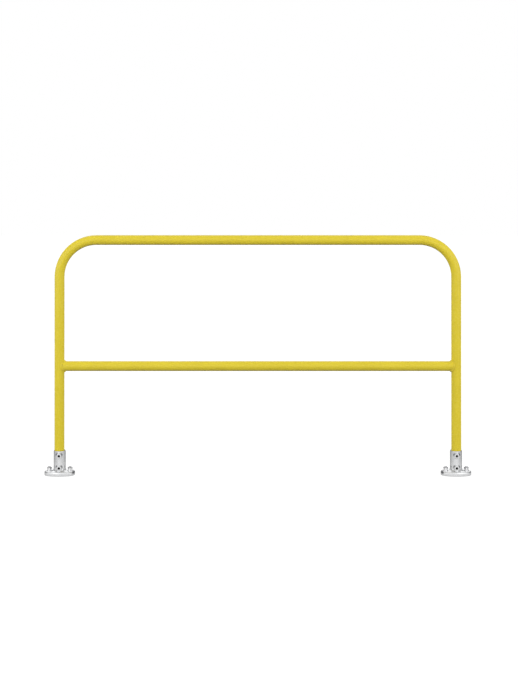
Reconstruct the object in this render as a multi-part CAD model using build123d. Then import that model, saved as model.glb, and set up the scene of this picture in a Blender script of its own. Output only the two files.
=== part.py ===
from build123d import *
from math import hypot, radians, sqrt, tan
import os

os.makedirs("parts", exist_ok=True)

# The rail stands on z = 0 with its length along X. Its origin is midway between the posts,
# and the set screws look towards -Y, the front.

# Bent pipe and mid rail
rail_length = 1829.0  # over the outsides of both posts
rail_height = 1067.0  # from the posts' feet to the top of the top rail
pipe_od = 44.5
pipe_wall = 3.2
bend_radius = 165.0  # to the pipe's centre line
mid_rail_height = 478.0  # centre line above the posts' feet

# Weld round each end of the mid rail
weld_leg_post = 5.0  # up and down the post
weld_leg_rail = 7.0  # along the mid rail
weld_rise = 2.5  # proud of the pipes in front and behind
weld_stop = 6.6  # its front and rear end this far short of the post's axis
weld_crown_radius = 4.0
weld_toe_radius = 1.5
horn_cover = 2.4  # the cope's horns end this far inside the weld

# Base flange casting
socket_clearance = 1.8  # round the pipe, on the radius
pipe_lean_out = 1.6  # the pipe rests against the outer, rear side of its socket
pipe_lean_back = 0.6
collar_wall = 3.2
flange_height = 110.0
ledge_height = 10.0  # the pipe stands on a ledge inside the casting
ledge_width = 6.4
base_thickness = 20.0
base_end_margin = 10.0  # past the bolts' washers
base_side_margin = 16.5  # past the collar
base_side_bow = 6.0  # the long sides bow out by this much past the end arcs
base_edge_radius = 8.0
base_foot_radius = 2.0
root_radius = 11.0  # where the collar flares into the base
rim_radius = 2.0
bore_chamfer = 0.8

# Set screws and their bosses
screw_od = 16.0
screw_length = 9.0
screw_fit = 0.05  # round the screw, on the radius
screw_edge = 0.8
socket_flats = 8.0
socket_depth = 6.0
cup_radius = 4.5
cup_depth = 1.2
upper_screw_drop = 21.0  # from the collar's rim
lower_boss_lift = 1.7  # from the base's top to the lower boss's foot
boss_wall = 3.2  # round the screw at the boss's face
boss_rise = 5.5  # above the collar's front
boss_draft = 15.0  # degrees
boss_root_radius = 3.0
boss_face_radius = 1.6

# Anchors
stud_od = 12.0
stud_hole_clearance = 1.0  # round the stud in the casting, on the radius
stud_fit = 0.05  # round the stud in nut and washers, on the radius
stud_proud = 3.6  # above the nut
stud_edge = 1.2
stud_floor_gap = 0.3  # its lower end stays clear of the floor
nut_flats = 19.0
nut_height = 10.0
nut_chamfer_angle = 30.0  # degrees, at the corners
washer_od = 24.0
washer_thickness = 2.4
washer_edge = 0.4
washer_to_collar = 7.4
spot_face_clearance = 0.8  # round the washer, on the radius
lock_washer_width = 4.0
lock_washer_thickness = 2.6
lock_washer_slit = 1.6
lock_washer_slant = 25.0  # degrees

# Derived places and sizes
pipe_radius = pipe_od / 2
pipe_inner_radius = pipe_radius - pipe_wall
foot_z = ledge_height
top_rail_z = foot_z + rail_height - pipe_radius
mid_rail_z = foot_z + mid_rail_height
post_x = rail_length / 2 - pipe_radius
cope_trim = weld_stop + horn_cover
socket_radius = pipe_radius + socket_clearance
collar_radius = socket_radius + collar_wall
flange_x = post_x - pipe_lean_out
flange_y = -pipe_lean_back
bolt_offset = collar_radius + washer_to_collar + washer_od / 2
base_length = 2 * (bolt_offset + washer_od / 2 + base_end_margin)
base_depth = 2 * (collar_radius + base_side_margin)
base_end_radius = base_depth / 2 - base_side_bow
boss_face_y = -(collar_radius + boss_rise)
boss_face_od = screw_od + 2 * (screw_fit + boss_wall)
upper_screw_height = flange_height - upper_screw_drop
boss_foot_radius = boss_face_od / 2 + boss_rise * tan(radians(boss_draft))
lower_screw_height = base_thickness + lower_boss_lift + boss_foot_radius
screw_heights = {"lower": lower_screw_height, "upper": upper_screw_height}
washer_top = base_thickness + washer_thickness
lock_washer_top = washer_top + lock_washer_thickness
nut_top = lock_washer_top + nut_height
stud_top = nut_top + stud_proud
sides = {"left": -1, "right": 1}
from_floor = (Align.CENTER, Align.CENTER, Align.MIN)


def rod(radius, height, base=0.0):
    """Upright cylinder that starts at the height base."""
    return Pos(0, 0, base) * Cylinder(radius, height, align=from_floor)


def facing_front(y, z):
    """Place whose local +Z looks towards the front, -Y."""
    return Pos(0, y, z) * Rot(90, 0, 0)


def rail_frame():
    """One pipe bent into an upside-down U: two posts and the top rail."""
    path = FilletPolyline(
        (-post_x, 0, foot_z),
        (-post_x, 0, top_rail_z),
        (post_x, 0, top_rail_z),
        (post_x, 0, foot_z),
        radius=bend_radius,
    )
    section = Pos(-post_x, 0, foot_z) * (Circle(pipe_radius) - Circle(pipe_inner_radius))
    return sweep(section, path=path)


def mid_rail():
    """Straight pipe, coped to the posts, with the cope's thin horns cut square."""
    along_x = Pos(0, 0, mid_rail_z) * Rot(0, 90, 0)
    length = 2 * (post_x - cope_trim)
    pipe = along_x * (Cylinder(pipe_radius, length) - Cylinder(pipe_inner_radius, length))
    for side in sides.values():
        pipe -= Pos(side * post_x, 0, mid_rail_z) * Cylinder(pipe_radius, 2 * pipe_od)
    return pipe


def right_weld(rail):
    """Convex bead in the saddle corner where the mid rail's end meets the right post.

    An oval barrel round the mid rail, kept inside a larger cylinder round the post, gives
    the bead's outside. The pipes are then cut out of it.
    """
    joint = Pos(post_x, 0, mid_rail_z)
    oval = Ellipse(pipe_radius + weld_rise, pipe_radius + weld_leg_post)
    face_inwards = Plane((-weld_stop, 0, 0), x_dir=(0, 1, 0), z_dir=(-1, 0, 0))
    barrel = joint * extrude(face_inwards * oval, 2 * pipe_od)
    bead = barrel & (joint * Cylinder(pipe_radius + weld_leg_rail, 2 * pipe_od))
    bead = fillet(bead.edges().filter_by(GeomType.BSPLINE), weld_crown_radius)
    bead = fillet(bead.edges().filter_by(GeomType.ELLIPSE), weld_toe_radius)
    bore = Pos(0, 0, mid_rail_z) * Rot(0, 90, 0) * Cylinder(pipe_inner_radius, 2 * post_x)
    return bead - joint * Cylinder(pipe_radius, 2 * pipe_od) - bore - rail


def base_outline():
    """Oval of four tangent arcs: two round ends joined by two long bowed sides."""
    half_length = base_length / 2
    half_depth = base_depth / 2
    end_centre = half_length - base_end_radius
    side_radius = (end_centre**2 + half_depth**2 - base_end_radius**2) / (2 * base_side_bow)
    side_centre = side_radius - half_depth
    reach = base_end_radius / hypot(end_centre, side_centre)
    tangent_x = end_centre * (1 + reach)
    tangent_y = side_centre * reach
    arcs = []
    for sign in (1, -1):
        side_start = (-sign * tangent_x, -sign * tangent_y)
        side_end = (sign * tangent_x, -sign * tangent_y)
        end_end = (sign * tangent_x, sign * tangent_y)
        arcs.append(ThreePointArc(side_start, (0, -sign * half_depth), side_end))
        arcs.append(ThreePointArc(side_end, (sign * half_length, 0), end_end))
    return make_face(arcs)


def base_flange():
    """Casting with an oval base, a flared collar, two screw bosses and a stepped socket."""
    base = extrude(base_outline(), base_thickness)
    base = fillet(base.edges().group_by(Axis.Z)[-1], base_edge_radius)
    base = fillet(base.edges().group_by(Axis.Z)[0], base_foot_radius)
    collar = rod(collar_radius, flange_height)
    collar = fillet(collar.edges().group_by(Axis.Z)[-1], rim_radius)
    casting = base + collar
    root = casting.edges().filter_by(GeomType.CIRCLE)
    root = root.filter_by_position(Axis.Z, base_thickness - 0.01, base_thickness + 0.01)
    casting = fillet(root.sort_by(SortBy.RADIUS)[0], root_radius)
    boss_start = collar_radius / 2  # inside the collar
    boss_length = -boss_face_y - boss_start
    boss_root_od = boss_face_od + 2 * boss_length * tan(radians(boss_draft))
    boss = Cone(boss_root_od / 2, boss_face_od / 2, boss_length, align=from_floor)
    boss = fillet(boss.edges().group_by(Axis.Z)[-1], boss_face_radius)
    boss = Pos(0, 0, boss_start) * boss
    bosses = [facing_front(0, height) * boss for height in screw_heights.values()]
    with_bosses = casting + bosses
    seams = new_edges(casting, *bosses, combined=with_bosses)
    casting = fillet(seams, boss_root_radius)
    casting -= rod(socket_radius, flange_height, ledge_height)
    mouth = Pos(0, 0, flange_height - bore_chamfer)
    lead_in = Cone(socket_radius, socket_radius + bore_chamfer, bore_chamfer, align=from_floor)
    casting -= mouth * lead_in
    casting -= rod(socket_radius - ledge_width, flange_height)
    for height in screw_heights.values():
        hole = Cylinder(screw_od / 2 + screw_fit, -boss_face_y, align=from_floor)
        casting -= facing_front(0, height) * hole
    for sign in (-1, 1):
        hole = rod(stud_od / 2 + stud_hole_clearance, base_thickness)
        spot_face = rod(washer_od / 2 + spot_face_clearance, root_radius, base_thickness)
        casting -= Pos(sign * bolt_offset, 0, 0) * (hole + spot_face)
    return casting


def set_screw():
    """Headless screw with a hexagon socket in front and a cup point behind, along Z."""
    screw = rod(screw_od / 2, screw_length)
    screw = chamfer(screw.edges(), screw_edge)
    hexagon = RegularPolygon(socket_flats / 2, 6, major_radius=False)
    screw -= Pos(0, 0, screw_length - socket_depth) * extrude(hexagon, socket_depth)
    return screw - Cone(cup_radius, 0, cup_depth, align=from_floor)


def anchor_stud():
    """Threaded stud from just above the floor to past the nut."""
    stud = rod(stud_od / 2, stud_top - stud_floor_gap, stud_floor_gap)
    return chamfer(stud.edges().group_by(Axis.Z)[-1], stud_edge)


def anchor_nut():
    """Hexagon nut with its corners chamfered on both faces."""
    corner_radius = nut_flats / sqrt(3)
    slope = tan(radians(nut_chamfer_angle))
    blank = extrude(RegularPolygon(nut_flats / 2, 6, major_radius=False), nut_height)
    rise = nut_height / 2
    widest = nut_flats / 2 + rise / slope
    tip = Cone(widest, nut_flats / 2, rise, align=from_floor)
    envelope = Pos(0, 0, rise) * (tip + mirror(tip, Plane.XY))
    nut = blank & envelope
    return Pos(0, 0, lock_washer_top) * (nut - rod(stud_od / 2 + stud_fit, nut_height))


def flat_washer():
    """Plain round washer with a broken edge."""
    washer = rod(washer_od / 2, washer_thickness, base_thickness)
    washer = chamfer(washer.edges(), washer_edge)
    return washer - rod(stud_od / 2 + stud_fit, washer_thickness, base_thickness)


def lock_washer():
    """Split spring washer, tightened flat, with its slanting slit at the back."""
    inner_radius = stud_od / 2 + stud_fit
    outer_radius = inner_radius + lock_washer_width
    ring = rod(outer_radius, lock_washer_thickness, washer_top)
    ring -= rod(inner_radius, lock_washer_thickness, washer_top)
    slit = Box(lock_washer_slit, 2 * lock_washer_width, 2 * lock_washer_thickness)
    middle = (inner_radius + outer_radius) / 2
    place = Pos(0, middle, washer_top + lock_washer_thickness / 2)
    return ring - place * Rot(0, lock_washer_slant, 0) * slit


def write(shape, name):
    export_step(shape, f"parts/{name}.step")


rail = mid_rail()
weld = right_weld(rail)
write(rail_frame(), "rail_frame")
write(rail, "mid_rail")
write(weld, "weld_right")
write(mirror(weld, Plane.YZ), "weld_left")

flange = base_flange()
screw = set_screw()
screw_tip_y = -pipe_radius - flange_y - screw_fit
anchor_pieces = {
    "anchor_stud": anchor_stud(),
    "anchor_nut": anchor_nut(),
    "flat_washer": flat_washer(),
    "lock_washer": lock_washer(),
}
for side_name, side in sides.items():
    foot = Pos(side * flange_x, flange_y, 0)
    write(foot * flange, f"base_flange_{side_name}")
    for screw_name, height in screw_heights.items():
        place = foot * facing_front(screw_tip_y, height)
        write(place * screw, f"set_screw_{side_name}_{screw_name}")
    for bolt_name, direction in {"inner": -side, "outer": side}.items():
        for piece_name, piece in anchor_pieces.items():
            place = foot * Pos(direction * bolt_offset, 0, 0)
            write(place * piece, f"{piece_name}_{side_name}_{bolt_name}")
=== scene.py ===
"""Looks of a floor-mounted industrial guard rail.

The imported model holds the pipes, the castings and the fasteners at their real size. This file gives
each of them its finish, lays the rippled weld beads, cuts the studs' threads and sets the stage.
Lengths are in metres. The rail runs along X and Z is up.
"""

import math

import bpy
import numpy as np
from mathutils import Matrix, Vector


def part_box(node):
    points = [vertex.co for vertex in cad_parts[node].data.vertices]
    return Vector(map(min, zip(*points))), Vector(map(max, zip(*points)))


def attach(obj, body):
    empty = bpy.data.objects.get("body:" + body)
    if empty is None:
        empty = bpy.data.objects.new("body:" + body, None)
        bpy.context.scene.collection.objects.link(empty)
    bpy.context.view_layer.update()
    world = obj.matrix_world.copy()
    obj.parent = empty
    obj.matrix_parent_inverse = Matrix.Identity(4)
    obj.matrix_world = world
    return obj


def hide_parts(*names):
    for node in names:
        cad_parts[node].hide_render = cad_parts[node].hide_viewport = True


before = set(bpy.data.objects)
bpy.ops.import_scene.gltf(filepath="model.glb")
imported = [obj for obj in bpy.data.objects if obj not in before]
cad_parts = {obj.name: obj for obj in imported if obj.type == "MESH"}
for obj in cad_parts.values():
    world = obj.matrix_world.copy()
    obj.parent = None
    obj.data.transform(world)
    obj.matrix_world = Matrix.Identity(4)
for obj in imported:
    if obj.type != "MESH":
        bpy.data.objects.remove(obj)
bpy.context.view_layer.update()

bl_info = {
    "name": "Industrial guard rail",
    "version": (1, 0, 0),
    "blender": (4, 5, 0),
    "location": "3D View > Sidebar > Guard rail",
    "description": "Powder coat, welds, galvanised castings and plated fasteners of a pipe guard rail",
    "category": "Object",
}

MM = 0.001
SIDES = {"left": -1, "right": 1}
ENDS = ("inner", "outer")
LEVELS = ("lower", "upper")


def middle(node):
    """Centre of a CAD node's box."""
    low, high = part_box(node)
    return (low + high) / 2


def spans(node):
    """Size of a CAD node's box."""
    low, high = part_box(node)
    return high - low


# Places and sizes that the materials and the new pieces share, read from the right-hand side
PIPE_RADIUS = spans("mid_rail").z / 2
MID_RAIL_Z = middle("mid_rail").z
POST_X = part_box("rail_frame")[1].x - PIPE_RADIUS
FLANGE_X = middle("base_flange_right").x
FLANGE_Y = middle("base_flange_right").y
FLANGE_SIZE = spans("base_flange_right")
BOLT_OFFSET = middle("anchor_stud_right_outer").x - FLANGE_X
STUD_RADIUS = spans("anchor_stud_right_outer").x / 2
SCREW_MIDDLE_Z = (middle("set_screw_right_lower").z + middle("set_screw_right_upper").z) / 2
SCREW_HALF_PITCH = (middle("set_screw_right_upper").z - middle("set_screw_right_lower").z) / 2
SCREW_RADIUS = spans("set_screw_right_lower").x / 2
BOSS_WALL = 4.0 * MM  # round the screw, at the boss's root
BOSS_RADIUS = SCREW_RADIUS + BOSS_WALL
NUT_FOOT_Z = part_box("anchor_nut_right_outer")[0].z
NUT_TOP_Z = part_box("anchor_nut_right_outer")[1].z
NUT_FLAT_RADIUS = min(spans("anchor_nut_right_outer").x, spans("anchor_nut_right_outer").y) / 2
WELD_POST_LEG = spans("weld_right").z / 2 - PIPE_RADIUS
WELD_RAIL_LEG = POST_X - PIPE_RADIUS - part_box("weld_right")[0].x
WELD_STOP = POST_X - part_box("weld_right")[1].x

# Turning marks on the fasteners
TURNING_PITCH = 0.5 * MM
TURNING_DEPTH = 0.02 * MM

# Points of the new pieces' grids: round the rail and round the bead, and up the stud and round it
WELD_POINTS = (720, 28)
THREAD_POINTS = (231, 40)

# Shares of the studio walls' light: what is lost in a mirror, at a mirror's sides and overhead, and what
# the strip over the backdrop adds in a mirror
MIRROR_LOSS = 0.27
MIRROR_SIDE_LOSS = 0.65
OVERHEAD_LOSS = 0.77
MIRROR_OVERHEAD_LOSS = 0.12
STRIP_GAIN = 0.30


class CoatSettings(bpy.types.PropertyGroup):
    """Powder coat of the pipes."""

    colour: bpy.props.FloatVectorProperty(
        name="Colour", description="Colour of the powder coat", subtype="COLOR",
        size=3, min=0, max=1, default=(0.716, 0.576, 0.036))
    deep_colour: bpy.props.FloatVectorProperty(
        name="Deep colour", description="Colour where the coat lies a little thicker", subtype="COLOR",
        size=3, min=0, max=1, default=(0.66, 0.52, 0.028))
    roughness: bpy.props.FloatProperty(
        name="Roughness", description="Roughness of the coat", subtype="FACTOR", min=0, max=1, default=0.27)
    peel_size: bpy.props.FloatProperty(
        name="Peel size", description="Width of one dimple of the orange peel", unit="LENGTH",
        min=0.0005, default=0.0026)
    peel_depth: bpy.props.FloatProperty(
        name="Peel depth", description="Depth of the orange peel", unit="LENGTH", min=0, default=0.000018)


class WeldSettings(bpy.types.PropertyGroup):
    """Weld beads round the mid rail's ends."""

    ripple_pitch: bpy.props.FloatProperty(
        name="Ripple pitch", description="Distance between two ripples", unit="LENGTH",
        min=0.0005, default=0.0024)
    ripple_height: bpy.props.FloatProperty(
        name="Ripple height", description="Height of a ripple under the coat", unit="LENGTH",
        min=0, default=0.0004)
    crown: bpy.props.FloatProperty(
        name="Crown", description="Rise of the bead over its two toes", unit="LENGTH", min=0, default=0.0012)
    side_crown: bpy.props.FloatProperty(
        name="Side crown", description="Rise of the bead at the pipes' sides", unit="LENGTH",
        min=0, default=0.0022)


class CastingSettings(bpy.types.PropertyGroup):
    """Galvanised base flanges."""

    colour: bpy.props.FloatVectorProperty(
        name="Bright zinc", description="Colour of the brightest spangles", subtype="COLOR",
        size=3, min=0, max=1, default=(0.72, 0.725, 0.73))
    dull_colour: bpy.props.FloatVectorProperty(
        name="Dull zinc", description="Colour of the dullest spangles", subtype="COLOR",
        size=3, min=0, max=1, default=(0.65, 0.655, 0.665))
    roughness: bpy.props.FloatProperty(
        name="Roughness", description="Roughness of the brightest spangles", subtype="FACTOR",
        min=0, max=1, default=0.22)
    # Painted shade in the creases over the screw bosses and at the base's ends
    painted_shade_colour: bpy.props.FloatVectorProperty(
        name="Painted shade", description="Colour of the painted shade over the screw bosses and at the base's ends",
        subtype="COLOR", size=3, min=0, max=1, default=(0.10, 0.10, 0.11))
    # Painted shade: the colour that the socket's bore is painted as shade
    bore_shade_colour: bpy.props.FloatVectorProperty(
        name="Socket bore", description="Colour of the painted shade in the bore that the pipe stands in",
        subtype="COLOR", size=3, min=0, max=1, default=(0.006, 0.007, 0.006))
    bore_radius: bpy.props.FloatProperty(
        name="Bore radius", description="Radius of the pipe socket with half its lead-in", unit="LENGTH",
        min=0, default=0.0258)
    spangle_size: bpy.props.FloatProperty(
        name="Spangle size", description="Width of one zinc crystal", unit="LENGTH",
        min=0.001, default=0.007)
    skin_size: bpy.props.FloatProperty(
        name="Skin grain", description="Width of one grain of the cast skin", unit="LENGTH",
        min=0.0003, default=0.0013)


class FastenerSettings(bpy.types.PropertyGroup):
    """Anchors and set screws."""

    colour: bpy.props.FloatVectorProperty(
        name="Zinc plate", description="Colour of the plating", subtype="COLOR",
        size=3, min=0, max=1, default=(0.88, 0.88, 0.88))
    dark_colour: bpy.props.FloatVectorProperty(
        name="Dark plate", description="Colour of the darkest blotches on the set screws",
        subtype="COLOR", size=3, min=0, max=1, default=(0.42, 0.43, 0.45))
    # Painted shade: the colour of the nuts' corners and top chamfers and of the studs
    nut_shade_colour: bpy.props.FloatVectorProperty(
        name="Nut shade", description="Colour of the painted shade on the nuts' corners and chamfers",
        subtype="COLOR", size=3, min=0, max=1, default=(0.16, 0.16, 0.17))
    # Painted shade: the colour of the set screws' hex recess
    socket_shade_colour: bpy.props.FloatVectorProperty(
        name="Socket", description="Colour of the painted shade in the set screws' hex recess", subtype="COLOR",
        size=3, min=0, max=1, default=(0.004, 0.004, 0.005))
    roughness: bpy.props.FloatProperty(
        name="Roughness", description="Roughness of the plating", subtype="FACTOR",
        min=0, max=1, default=0.2)
    thread_pitch: bpy.props.FloatProperty(
        name="Thread pitch", description="Rise of the stud's thread in one turn", unit="LENGTH",
        min=0.0005, default=0.00175)
    thread_depth: bpy.props.FloatProperty(
        name="Thread depth", description="Depth of the stud's thread", unit="LENGTH", min=0, default=0.00105)
    end_chamfer: bpy.props.FloatProperty(
        name="End chamfer", description="Chamfer at the stud's end", unit="LENGTH", min=0, default=0.0014)


class StageSettings(bpy.types.PropertyGroup):
    """Camera, floor and studio light."""

    camera_distance: bpy.props.FloatProperty(
        name="Camera distance", description="Camera's distance in front of the rail", unit="LENGTH",
        min=0.1, default=6.5)
    camera_height: bpy.props.FloatProperty(
        name="Camera height", description="Camera's height over the floor", unit="LENGTH", default=1.42)
    camera_side: bpy.props.FloatProperty(
        name="Camera side step", description="Camera's distance to the right of the middle", unit="LENGTH",
        default=0.0051)
    camera_tilt: bpy.props.FloatProperty(
        name="Camera tilt", description="How far the camera looks down", subtype="ANGLE",
        default=math.radians(-0.28))
    lens: bpy.props.FloatProperty(
        name="Lens", description="Focal length in millimetres on a 36 mm sensor", min=1, default=75.34)
    shift: bpy.props.FloatProperty(
        name="Shift", description="Vertical lens shift, a share of the picture's long side", default=-0.28)
    floor_colour: bpy.props.FloatVectorProperty(
        name="Floor", description="Colour of the floor", subtype="COLOR",
        size=3, min=0, max=1, default=(0.18, 0.18, 0.18))
    floor_glow: bpy.props.FloatProperty(
        name="Floor lift", description="What is added to the floor where it is seen, up to white",
        min=0, default=0.93)
    floor_size: bpy.props.FloatProperty(
        name="Floor size", description="Width of the floor", unit="LENGTH", min=1, default=40.0)
    wall_light: bpy.props.FloatProperty(
        name="Wall light", description="Brightness of the studio's walls", min=0, default=1.70)
    lamp_power: bpy.props.FloatProperty(
        name="Lamp power", description="Power of the left and right soft boxes", unit="POWER",
        min=0, default=42.0)


class Signal:
    """One output of a shader node. Arithmetic on it adds the Math nodes that work the result out."""

    def __init__(self, graph, socket):
        self.graph = graph
        self.socket = socket

    def math(self, operation, first, second=None):
        inputs = {0: first} if second is None else {0: first, 1: second}
        return self.graph.node("ShaderNodeMath", {"operation": operation}, inputs)

    def __add__(self, other):
        return self.math("ADD", self, other)

    def __radd__(self, other):
        return self.math("ADD", other, self)

    def __sub__(self, other):
        return self.math("SUBTRACT", self, other)

    def __rsub__(self, other):
        return self.math("SUBTRACT", other, self)

    def __mul__(self, other):
        return self.math("MULTIPLY", self, other)

    def __rmul__(self, other):
        return self.math("MULTIPLY", other, self)

    def __truediv__(self, other):
        return self.math("DIVIDE", self, other)

    def __pow__(self, other):
        return self.math("POWER", self, other)

    def __abs__(self):
        return self.math("ABSOLUTE", self)

    def larger(self, other):
        return self.math("MAXIMUM", self, other)

    def over(self, limit):
        return self.math("GREATER_THAN", self, limit)


class Graph:
    """A node tree that is written as expressions."""

    def __init__(self, tree):
        self.tree = tree

    def node(self, kind, settings=None, inputs=None, output=0):
        """Adds one node: its settings are set first, then its sockets get values or links."""
        made = self.tree.nodes.new(kind)
        for name, value in (settings or {}).items():
            setattr(made, name, value)
        for name, value in (inputs or {}).items():
            self.feed(made.inputs[name], value)
        return Signal(self, made.outputs[output])

    def feed(self, socket, value):
        """Links a signal to a socket, or sets the socket's own value."""
        if isinstance(value, Signal):
            self.tree.links.new(value.socket, socket)
        else:
            socket.default_value = value

    def parts(self, vector):
        """The three numbers of a vector signal."""
        split = self.tree.nodes.new("ShaderNodeSeparateXYZ")
        self.feed(split.inputs[0], vector)
        return [Signal(self, output) for output in split.outputs]

    def joined(self, x, y, z):
        """A vector signal from three numbers."""
        return self.node("ShaderNodeCombineXYZ", None, {0: x, 1: y, 2: z})

    def place(self):
        """Object coordinates, in metres."""
        return self.node("ShaderNodeTexCoord", None, None, "Object")

    def noise(self, vector, size, detail=2.0, roughness=0.5):
        """Soft noise from 0 to 1 whose patches are about one size wide."""
        return self.node("ShaderNodeTexNoise", None, {
            "Vector": vector, "Scale": 1 / size, "Detail": detail, "Roughness": roughness}, "Fac")

    def cells(self, vector, size):
        """A random number from 0 to 1 for each cell of a crystal pattern."""
        colour = self.node("ShaderNodeTexVoronoi", None, {"Vector": vector, "Scale": 1 / size}, "Color")
        return self.parts(colour)[0]

    def ramp(self, value, low, high):
        """0 under low, 1 over high, and a smooth rise between."""
        return self.node("ShaderNodeMapRange", {"interpolation_type": "SMOOTHSTEP"}, {
            "Value": value, "From Min": low, "From Max": high})

    def mix(self, share, first, second):
        """Colour between two colours by a share from 0 to 1."""
        return self.node("ShaderNodeMix", {"data_type": "RGBA"}, {0: share, 6: first, 7: second}, 2)

    def bump(self, height, depth, under=None):
        """Normal of a surface raised by height times depth, in metres."""
        inputs = {"Height": height, "Distance": depth, "Strength": 1.0}
        if under is not None:
            inputs["Normal"] = under
        return self.node("ShaderNodeBump", None, inputs)


def opaque(colour):
    """A colour setting with its alpha."""
    return (*colour, 1.0)


def new_material(name, **sockets):
    """A material with its graph and its one surface shader, whose plain sockets are set."""
    material = bpy.data.materials.new(name)
    material.use_nodes = True
    graph = Graph(material.node_tree)
    shader = material.node_tree.nodes["Principled BSDF"]
    for socket, value in sockets.items():
        shader.inputs[socket.replace("_", " ")].default_value = value
    return material, graph, shader.inputs


def powder_coat(settings):
    """Powder coat: orange peel, faint deeper patches and a slight change of gloss."""
    material, graph, surface = new_material("yellow powder coat", Specular_IOR_Level=0.25)
    place = graph.place()
    patches = graph.noise(place, 90 * MM, 3.0)
    flow = graph.noise(place, 12 * MM, 2.0)
    peel = graph.noise(place, settings.peel_size, 1.0)
    deep = graph.ramp(patches * 0.7 + flow * 0.3, 0.35, 0.72)
    colour = graph.mix(deep * 0.55, opaque(settings.colour), opaque(settings.deep_colour))
    graph.feed(surface["Base Color"], colour)
    graph.feed(surface["Roughness"], settings.roughness - 0.05 + flow * 0.10)
    graph.feed(surface["Normal"], graph.bump(peel, settings.peel_depth))
    return material


def painted_crease_shade(graph, x, y, z):
    """Painted shade: 1 in the creases where the screw bosses' upper sides meet the collar's front, and 0
    elsewhere.
    """
    along = abs(abs(x) - FLANGE_X)
    upward = z - (SCREW_MIDDLE_Z - SCREW_HALF_PITCH) - z.over(SCREW_MIDDLE_Z) * (2 * SCREW_HALF_PITCH)
    from_screw = (along * along + upward * upward) ** 0.5
    off_boss = graph.ramp(from_screw, BOSS_RADIUS, BOSS_RADIUS + 1.5 * MM)
    near_boss = 1 - graph.ramp(from_screw, BOSS_RADIUS + 3.5 * MM, BOSS_RADIUS + 6.5 * MM)
    off_middle = graph.ramp(along, 6 * MM, 10 * MM)
    over_screw = graph.ramp(upward, 0.0, 4 * MM)
    in_front = 1 - graph.ramp(y, FLANGE_Y - 18 * MM, FLANGE_Y - 12 * MM)
    return off_boss * near_boss * off_middle * over_screw * in_front


def painted_end_shade(graph, x, z):
    """Painted shade at the base's two ends: how dark they are, the one under the rail more than the outer
    one.
    """
    outer = graph.ramp(abs(x) - FLANGE_X, 56 * MM, 66 * MM) * 0.50
    inner = graph.ramp(FLANGE_X - abs(x), 55 * MM, 63 * MM) * 0.9
    return outer.larger(inner) * graph.ramp(z, 4 * MM, 12 * MM)


def galvanised_zinc(settings):
    """Hot-dipped zinc on a sand casting: spangles of unequal gloss over a grainy cast skin.

    The creases over the bosses and the base's ends get painted shade, and the bore is painted near black as
    shade, non-metal and rougher.
    """
    material, graph, surface = new_material("galvanised casting")
    place = graph.place()
    wander = graph.noise(place, settings.spangle_size * 1.5, 2.0)
    x, y, z = graph.parts(place)
    bent = graph.joined(x + wander * (3 * MM), y - wander * (3 * MM), z + wander * (2 * MM))
    spangle = graph.cells(bent, settings.spangle_size)
    feather = graph.cells(bent, settings.spangle_size * 0.37)
    drift = graph.noise(place, 35 * MM, 3.0)
    dull = graph.ramp(spangle * 0.5 + feather * 0.2 + drift * 0.3, 0.2, 0.8)
    colour = graph.mix(dull, opaque(settings.colour), opaque(settings.dull_colour))
    from_axis = ((abs(x) - FLANGE_X) ** 2 + (y - FLANGE_Y) ** 2) ** 0.5
    # Painted shade: the socket's bore is painted near black, non-metal and rougher
    bore = 1 - graph.ramp(from_axis, settings.bore_radius - 0.2 * MM, settings.bore_radius + 0.2 * MM)
    # Painted shade: the creases over the bosses and the base's ends are darkened towards this colour
    painted_shade = (painted_crease_shade(graph, x, y, z) * 0.72).larger(painted_end_shade(graph, x, z))
    shaded_colour = graph.mix(painted_shade, colour, opaque(settings.painted_shade_colour))
    graph.feed(surface["Base Color"], graph.mix(bore, shaded_colour, opaque(settings.bore_shade_colour)))
    graph.feed(surface["Metallic"], 1 - bore)
    graph.feed(surface["Roughness"], settings.roughness + dull * 0.10 + bore * 0.3)
    skin = graph.noise(place, settings.skin_size, 3.0, 0.6)
    swell = graph.noise(place, 11 * MM, 2.0)
    swollen = graph.bump(swell, 0.14 * MM)
    grained = graph.bump(skin, 0.03 * MM, swollen)
    graph.feed(surface["Normal"], graph.bump(spangle, 0.015 * MM, grained))
    return material


def painted_nut_shade(graph, radius, z):
    """Painted shade: how dark a nut's corners and its top chamfer are, and the stud that stands over it."""
    corners = graph.ramp(radius, NUT_FLAT_RADIUS + 0.3 * MM, NUT_FLAT_RADIUS + 1.0 * MM)
    over_washers = graph.ramp(z, NUT_FOOT_Z - 0.2 * MM, NUT_FOOT_Z + 0.2 * MM)
    rim = graph.ramp(radius, NUT_FLAT_RADIUS - 2.2 * MM, NUT_FLAT_RADIUS - 1.2 * MM)
    near_top = graph.ramp(z, NUT_TOP_Z - 2.6 * MM, NUT_TOP_Z - 1.2 * MM)
    stud = graph.ramp(z, NUT_TOP_Z - 0.2 * MM, NUT_TOP_Z + 0.2 * MM)
    marks = (corners * over_washers).larger(rim * near_top)
    return (marks * 0.75).larger(stud * 0.45)


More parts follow.
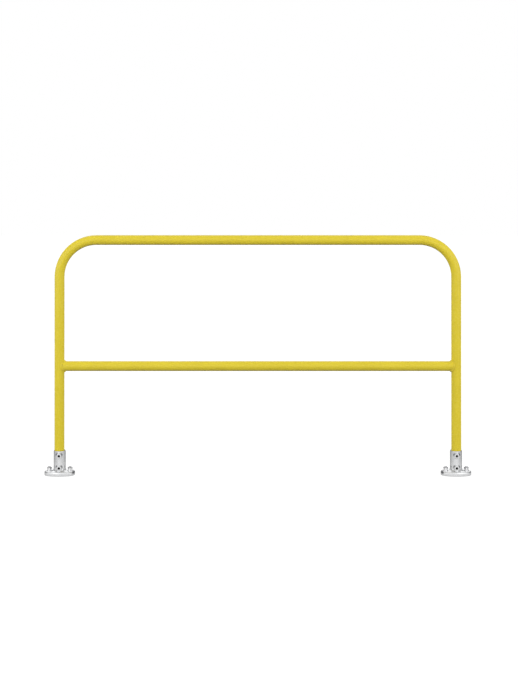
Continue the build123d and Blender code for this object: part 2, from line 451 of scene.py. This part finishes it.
def zinc_plate(settings):
    """Zinc plate on nuts, washers and studs: turning marks round each anchor's axis, and painted shade on
    the nuts' corners and top chamfers and on the studs.
    """
    material, graph, surface = new_material("zinc plate", Metallic=1.0)
    place = graph.place()
    x, y, z = graph.parts(place)
    along = abs(abs(x) - FLANGE_X) - BOLT_OFFSET
    across = y - FLANGE_Y
    radius = (along * along + across * across) ** 0.5
    turning = graph.noise(graph.joined(radius, radius * 0.2, z * 0.5), TURNING_PITCH, 1.0)
    blotch = graph.noise(place, 6 * MM, 3.0)
    tone = graph.ramp(blotch, 0.3, 0.75)
    bright = opaque(settings.colour)
    dull = opaque(part * share for part, share in zip(settings.colour, (0.8, 0.8, 0.82)))
    plated = graph.mix(tone, bright, dull)
    # Painted shade on the nuts' corners and top chamfers and on the studs
    nut_shade = painted_nut_shade(graph, radius, z)
    graph.feed(surface["Base Color"], graph.mix(nut_shade, plated, opaque(settings.nut_shade_colour)))
    graph.feed(surface["Roughness"], settings.roughness + tone * 0.10)
    graph.feed(surface["Normal"], graph.bump(turning, TURNING_DEPTH))
    return material


def screw_steel(settings):
    """Set screws: plated faces with turning marks, and painted shade that makes the hex recess near black.
    """
    material, graph, surface = new_material("set screw steel", Specular_IOR_Level=0.1)
    place = graph.place()
    x, y, z = graph.parts(place)
    along = abs(x) - FLANGE_X
    upward = abs(z - SCREW_MIDDLE_Z) - SCREW_HALF_PITCH
    radius = (along * along + upward * upward) ** 0.5
    # Painted shade: the hex recess is painted near black, non-metal and rougher
    recess = 1 - graph.ramp(radius, SCREW_RADIUS * 0.68, SCREW_RADIUS * 0.72)
    blotch = graph.noise(place, 4 * MM, 3.0)
    plated = graph.mix(blotch * 0.5, opaque(settings.colour), opaque(settings.dark_colour))
    graph.feed(surface["Base Color"], graph.mix(recess, plated, opaque(settings.socket_shade_colour)))
    graph.feed(surface["Metallic"], 1 - recess)
    graph.feed(surface["Roughness"], settings.roughness + recess * 0.25 + blotch * 0.08)
    turning = graph.noise(graph.joined(radius, radius * 0.2, y * 0.4), TURNING_PITCH, 1.0)
    graph.feed(surface["Normal"], graph.bump(turning, TURNING_DEPTH))
    return material


def floor_mirror_shade(graph, x, y):
    """Share of its lift the floor keeps in a mirror, as painted shade in the metal's reflections: less
    outside the posts, beside and behind the bases, and a painted shadow at and near the bases.
    """
    outside = graph.ramp(abs(x), POST_X, POST_X + 0.6)
    along = (abs(x) - FLANGE_X) / (FLANGE_SIZE.x / 2)
    across = (y - FLANGE_Y) / (FLANGE_SIZE.y / 2)
    near = 1 - graph.ramp((along ** 2 + across ** 2) ** 0.5, 1.0, 1.8)
    beside = graph.ramp(abs(abs(x) - FLANGE_X), 0.10, 0.36)
    behind = graph.ramp(y, -0.02, 0.22)
    return (0.95 - outside * 0.2) * (1 - near * 0.38) * (1 - beside * 0.35) * (1 - behind * 0.5)


def floor_paint(colour, glow):
    """Pale matt floor, lifted to white where the camera or a mirror sees it, with its shadows kept."""
    material = bpy.data.materials.new("pale floor")
    material.use_nodes = True
    tree = material.node_tree
    tree.nodes.clear()
    graph = Graph(tree)
    path = tree.nodes.new("ShaderNodeLightPath")
    place = graph.place()
    x, y, _ = graph.parts(place)
    # Painted shade: in a mirror the floor's lift is dimmer outside the posts, beside, behind and near the
    # bases
    mirrored = Signal(graph, path.outputs["Is Glossy Ray"]) * floor_mirror_shade(graph, x, y)
    seen = Signal(graph, path.outputs["Is Camera Ray"]).larger(mirrored)
    grain = graph.noise(place, 20 * MM, 3.0)
    darker = tuple(part * 0.97 for part in colour)
    paint = graph.mix(grain, opaque(colour), opaque(darker))
    matt = graph.node("ShaderNodeBsdfDiffuse", None, {"Color": paint})
    lift = graph.node("ShaderNodeEmission", None, {"Strength": seen * glow})
    both = graph.node("ShaderNodeAddShader", None, {0: matt, 1: lift})
    out = tree.nodes.new("ShaderNodeOutputMaterial")
    graph.feed(out.inputs["Surface"], both)
    return material


def paint(nodes, material):
    """Gives CAD nodes or new pieces their one material."""
    for node in nodes:
        node.data.materials.clear()
        node.data.materials.append(material)


def new_piece(name, grid, caps):
    """Mesh of a grid of points, rows by columns by 3, closed round its columns.

    Quads join neighbouring rows and columns. With caps, a polygon closes the first and the last row.
    Without, the last row joins the first. The faces are turned outwards by the sign of the volume.
    """
    rows, columns = grid.shape[:2]
    index = np.arange(rows * columns).reshape(rows, columns)
    if not caps:
        index = np.vstack([index, index[:1]])
    corner = index[:-1]
    above = index[1:]
    quads = np.stack([corner, np.roll(corner, -1, 1), np.roll(above, -1, 1), above], -1).reshape(-1, 4)
    points = grid.reshape(-1, 3)
    a, b, c, d = (points[quads[:, k]] for k in range(4))
    volume = np.einsum("ij,ij->", a, np.cross(b, c)) + np.einsum("ij,ij->", a, np.cross(c, d))
    faces = quads.tolist()
    if caps:
        faces += [index[0][::-1].tolist(), index[-1].tolist()]
    if volume < 0:
        faces = [face[::-1] for face in faces]
    mesh = bpy.data.meshes.new(name)
    mesh.from_pydata(points, [], faces)
    mesh.shade_smooth()
    piece = bpy.data.objects.new(name, mesh)
    bpy.context.scene.collection.objects.link(piece)
    return piece


def weld_grid(settings, side):
    """Ring of weld metal round the mid rail's end.

    a goes once round the rail from its top, and b once round the bead's section. The post's toe lies on
    the post's cylinder and the rail's toe on the rail's, where the two pipes meet plus the bead's legs.
    The rail's leg narrows towards the pipes' sides, where the bead's crown is higher.
    A point is between the toes by (1 - cos b) / 2. It rises over them by the crown times a power of the
    sine of b. Where the sine is under zero, the bead lies inside the pipes and is sunk by the sine.
    Ripples add a cosine of the way round, unevenly spaced and bowed forward in the middle of the bead.
    """
    around = np.linspace(0, 2 * np.pi, WELD_POINTS[0], endpoint=False)
    section = np.linspace(0, 2 * np.pi, WELD_POINTS[1], endpoint=False)
    a, b = np.meshgrid(around, section, indexing="ij")
    lean = math.acos(WELD_STOP / PIPE_RADIUS) * np.sin(a)
    side_share = 0.57
    leg = WELD_RAIL_LEG * (side_share + (1 - side_share) * np.cos(a) ** 2)
    half_width = PIPE_RADIUS * np.sin(a)
    post_toe = np.stack([
        POST_X - PIPE_RADIUS * np.cos(lean),
        PIPE_RADIUS * np.sin(lean),
        (PIPE_RADIUS + WELD_POST_LEG) * np.cos(a)], -1)
    rail_toe = np.stack([
        POST_X - np.sqrt((PIPE_RADIUS + leg) ** 2 - half_width ** 2),
        half_width,
        PIPE_RADIUS * np.cos(a)], -1)
    outward = np.stack([-np.cos(lean), np.sin(lean) + np.sin(a), np.cos(a)], -1)
    outward /= np.linalg.norm(outward, axis=-1, keepdims=True)

    path = (post_toe[:, 0] + rail_toe[:, 0]) / 2
    steps = np.linalg.norm(np.roll(path, -1, 0) - path, axis=1)
    length = np.cumsum(steps) - steps
    ripples = round(steps.sum() / settings.ripple_pitch)
    uneven = 0.30 * np.sin(3 * around + 1.0) + 0.16 * np.sin(8 * around + 2.1)
    crown_line = np.clip(np.sin(b), 0, None)
    bow = 0.55
    phase = (ripples * length / steps.sum() + uneven)[:, None] - bow * crown_line
    ripple = (0.5 + 0.5 * np.cos(2 * np.pi * phase)) ** 1.4 * crown_line ** 0.6

    crown = settings.crown + (settings.side_crown - settings.crown) * np.sin(a) ** 2
    rise = crown * crown_line ** 1.6 + settings.ripple_height * (ripple - 0.5 * crown_line)
    inside_depth = 1.5 * MM
    toe_depth = 0.2 * MM
    sunk = inside_depth * np.clip(-np.sin(b), 0, None) + toe_depth
    across = ((1 - np.cos(b)) / 2)[..., None]
    grid = post_toe + (rail_toe - post_toe) * across + outward * (rise - sunk)[..., None]
    grid[..., 0] *= side
    grid[..., 2] += MID_RAIL_Z
    return grid


def thread_grid(settings, stud):
    """Threaded rod: its radius is the stud's less a rounded groove that climbs one pitch in a turn.

    The crest and the two flanks take their shares of a pitch, and the rest is the groove's floor.
    Near the top the radius is also held under a cone, which is the chamfer.
    """
    low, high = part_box(stud)
    centre = (low + high) / 2
    heights = np.linspace(low.z, high.z, THREAD_POINTS[0])
    angles = np.linspace(0, 2 * np.pi, THREAD_POINTS[1], endpoint=False)
    z, angle = np.meshgrid(heights, angles, indexing="ij")
    turn = (z / settings.thread_pitch - angle / (2 * np.pi)) % 1
    crest = 0.14
    flanks = 0.74
    groove = np.clip((abs(2 * turn - 1) - crest) / flanks, 0, 1)
    groove = groove * groove * (3 - 2 * groove)
    cone = STUD_RADIUS - settings.end_chamfer + (high.z - z)
    radius = np.minimum(STUD_RADIUS - settings.thread_depth * groove, cone)
    return np.stack([centre.x + radius * np.cos(angle), centre.y + radius * np.sin(angle), z], -1)


class GUARDRAIL_OT_coat_pipes(bpy.types.Operator):
    """Powder-coat the bent pipe frame and the mid rail"""

    bl_idname = "guard_rail.coat_pipes"
    bl_label = "Coat the pipes"

    def execute(self, context):
        coat = powder_coat(context.scene.guard_rail_coat)
        paint([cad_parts["rail_frame"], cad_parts["mid_rail"]], coat)
        return {"FINISHED"}


class GUARDRAIL_OT_lay_welds(bpy.types.Operator):
    """Lay a rippled weld bead round each end of the mid rail, under the same coat"""

    bl_idname = "guard_rail.lay_welds"
    bl_label = "Lay the welds"

    def execute(self, context):
        for name, side in SIDES.items():
            bead = new_piece("weld_bead_" + name, weld_grid(context.scene.guard_rail_weld, side), False)
            paint([bead], bpy.data.materials["yellow powder coat"])
            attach(bead, "root")
            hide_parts("weld_" + name)
        return {"FINISHED"}


class GUARDRAIL_OT_galvanise_flanges(bpy.types.Operator):
    """Galvanise the two cast base flanges"""

    bl_idname = "guard_rail.galvanise_flanges"
    bl_label = "Galvanise the base flanges"

    def execute(self, context):
        zinc = galvanised_zinc(context.scene.guard_rail_casting)
        paint([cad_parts["base_flange_" + name] for name in SIDES], zinc)
        return {"FINISHED"}


class GUARDRAIL_OT_plate_nuts(bpy.types.Operator):
    """Zinc-plate the anchors' nuts, flat washers and spring washers"""

    bl_idname = "guard_rail.plate_nuts"
    bl_label = "Plate the nuts and washers"

    def execute(self, context):
        plate = zinc_plate(context.scene.guard_rail_fastener)
        for kind in ("anchor_nut", "flat_washer", "lock_washer"):
            paint([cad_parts[f"{kind}_{name}_{end}"] for name in SIDES for end in ENDS], plate)
        return {"FINISHED"}


class GUARDRAIL_OT_thread_studs(bpy.types.Operator):
    """Cut the thread of each anchor stud"""

    bl_idname = "guard_rail.thread_studs"
    bl_label = "Thread the studs"

    def execute(self, context):
        for name in SIDES:
            for end in ENDS:
                stud = f"anchor_stud_{name}_{end}"
                rod = new_piece(f"threaded_stud_{name}_{end}",
                                thread_grid(context.scene.guard_rail_fastener, stud), True)
                paint([rod], bpy.data.materials["zinc plate"])
                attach(rod, "root")
                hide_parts(stud)
        return {"FINISHED"}


class GUARDRAIL_OT_finish_screws(bpy.types.Operator):
    """Finish the set screws, with painted shade in their hex recess"""

    bl_idname = "guard_rail.finish_screws"
    bl_label = "Finish the set screws"

    def execute(self, context):
        steel = screw_steel(context.scene.guard_rail_fastener)
        paint([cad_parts[f"set_screw_{name}_{level}"] for name in SIDES for level in LEVELS], steel)
        return {"FINISHED"}


class GUARDRAIL_OT_set_stage(bpy.types.Operator):
    """Set the floor, the studio light and the camera"""

    bl_idname = "guard_rail.set_stage"
    bl_label = "Set the stage"

    def execute(self, context):
        settings = context.scene.guard_rail_stage
        self.lay_floor(context.scene, settings)
        self.hang_lamps(context.scene, settings)
        self.build_walls(context.scene, settings)
        self.place_camera(context.scene, settings)
        context.scene.view_settings.view_transform = "Standard"
        return {"FINISHED"}

    def lay_floor(self, scene, settings):
        """One flat square under the rail."""
        half = settings.floor_size / 2
        corners = [(-half, -half, 0), (half, -half, 0), (half, half, 0), (-half, half, 0)]
        mesh = bpy.data.meshes.new("floor")
        mesh.from_pydata(corners, [], [(0, 1, 2, 3)])
        floor = bpy.data.objects.new("floor", mesh)
        scene.collection.objects.link(floor)
        paint([floor], floor_paint(settings.floor_colour, settings.floor_glow))

    def hang_lamps(self, scene, settings):
        """Soft boxes at the left and the right, and one behind that metal doesn't mirror."""
        # Name, width, share of the lamp power, place, and turn about Z in degrees
        boxes = (
            ("left", 4.4, 1.0, (-3.3, -2.4, 1.6), -45),
            ("right", 4.4, 1.0, (3.3, -2.4, 1.6), 45),
            ("back", 5.0, 0.7, (0.0, 4.5, 1.2), 180),
        )
        height = 2.8
        droop = 7
        for name, width, share, place, turn in boxes:
            lamp = bpy.data.lights.new(f"{name} soft box", "AREA")
            lamp.shape = "RECTANGLE"
            lamp.size = width
            lamp.size_y = height
            lamp.energy = settings.lamp_power * share
            holder = bpy.data.objects.new(f"{name} soft box", lamp)
            holder.location = place
            holder.rotation_euler = (math.radians(90 - droop), 0.0, math.radians(turn))
            holder.visible_glossy = name != "back"
            scene.collection.objects.link(holder)

    def build_walls(self, scene, settings):
        """Pale walls that light the rail, and a white backdrop where the camera looks.

        Overhead they are dimmer. Metal mirrors them darker, most of all at its sides, with a brighter
        strip over the backdrop. The ramps' limits are for parts of the direction looked in.
        """
        world = bpy.data.worlds.new("studio")
        world.use_nodes = True
        tree = world.node_tree
        tree.nodes.clear()
        graph = Graph(tree)
        direction = graph.node("ShaderNodeTexCoord", None, None, "Generated")
        x, y, z = graph.parts(direction)
        path = tree.nodes.new("ShaderNodeLightPath")
        seen = Signal(graph, path.outputs["Is Camera Ray"])
        mirrored = Signal(graph, path.outputs["Is Glossy Ray"])
        ceiling = graph.ramp(z, 0.80, 0.93)
        side = graph.ramp(abs(x), 0.35, 0.60) * (1 - ceiling)
        overhead = graph.ramp(z, 0.25, 0.85)
        overhead_loss = OVERHEAD_LOSS - mirrored * (OVERHEAD_LOSS - MIRROR_OVERHEAD_LOSS)
        kept = (1 - mirrored * MIRROR_LOSS) * (1 - mirrored * side * MIRROR_SIDE_LOSS)
        kept = kept * (1 - overhead * overhead_loss)
        strip = graph.ramp(y, 0.35, 0.55) * graph.ramp(z, 0.42, 0.55) * (1 - graph.ramp(z, 0.80, 0.90))
        walls = settings.wall_light * (kept + mirrored * strip * STRIP_GAIN)
        level = seen + (1 - seen) * walls
        white = (1.0, 1.0, 1.0, 1.0)
        light = graph.node("ShaderNodeBackground", None, {"Color": white, "Strength": level})
        out = tree.nodes.new("ShaderNodeOutputWorld")
        graph.feed(out.inputs["Surface"], light)
        scene.world = world

    def place_camera(self, scene, settings):
        """Camera in front of the rail at chest height, with the lens shifted down."""
        camera = bpy.data.cameras.new("camera")
        camera.lens = settings.lens
        camera.sensor_width = 36.0
        camera.shift_y = settings.shift
        eye = bpy.data.objects.new("camera", camera)
        eye.location = (settings.camera_side, -settings.camera_distance, settings.camera_height)
        eye.rotation_euler = (math.radians(90) - settings.camera_tilt, 0.0, 0.0)
        scene.collection.objects.link(eye)
        scene.camera = eye


STEPS = (
    GUARDRAIL_OT_coat_pipes,
    GUARDRAIL_OT_lay_welds,
    GUARDRAIL_OT_galvanise_flanges,
    GUARDRAIL_OT_plate_nuts,
    GUARDRAIL_OT_thread_studs,
    GUARDRAIL_OT_finish_screws,
    GUARDRAIL_OT_set_stage,
)


class GUARDRAIL_PT_panel(bpy.types.Panel):
    """Steps that dress the guard rail"""

    bl_idname = "GUARDRAIL_PT_panel"
    bl_label = "Guard rail"
    bl_space_type = "VIEW_3D"
    bl_region_type = "UI"
    bl_category = "Guard rail"

    def draw(self, context):
        for step in STEPS:
            self.layout.operator(step.bl_idname)
        for settings in SETTINGS:
            box = self.layout.box()
            group = getattr(context.scene, settings)
            for name in group.__annotations__:
                box.prop(group, name)


SETTINGS = {
    "guard_rail_coat": CoatSettings,
    "guard_rail_weld": WeldSettings,
    "guard_rail_casting": CastingSettings,
    "guard_rail_fastener": FastenerSettings,
    "guard_rail_stage": StageSettings,
}


def register():
    for name, settings in SETTINGS.items():
        bpy.utils.register_class(settings)
        setattr(bpy.types.Scene, name, bpy.props.PointerProperty(type=settings))
    for step in STEPS:
        bpy.utils.register_class(step)
    bpy.utils.register_class(GUARDRAIL_PT_panel)


def unregister():
    bpy.utils.unregister_class(GUARDRAIL_PT_panel)
    for step in reversed(STEPS):
        bpy.utils.unregister_class(step)
    for name, settings in reversed(SETTINGS.items()):
        delattr(bpy.types.Scene, name)
        bpy.utils.unregister_class(settings)


def main():
    register()
    bpy.ops.guard_rail.coat_pipes()
    bpy.ops.guard_rail.lay_welds()
    bpy.ops.guard_rail.galvanise_flanges()
    bpy.ops.guard_rail.plate_nuts()
    bpy.ops.guard_rail.thread_studs()
    bpy.ops.guard_rail.finish_screws()
    bpy.ops.guard_rail.set_stage()


if __name__ == "__main__":
    main()
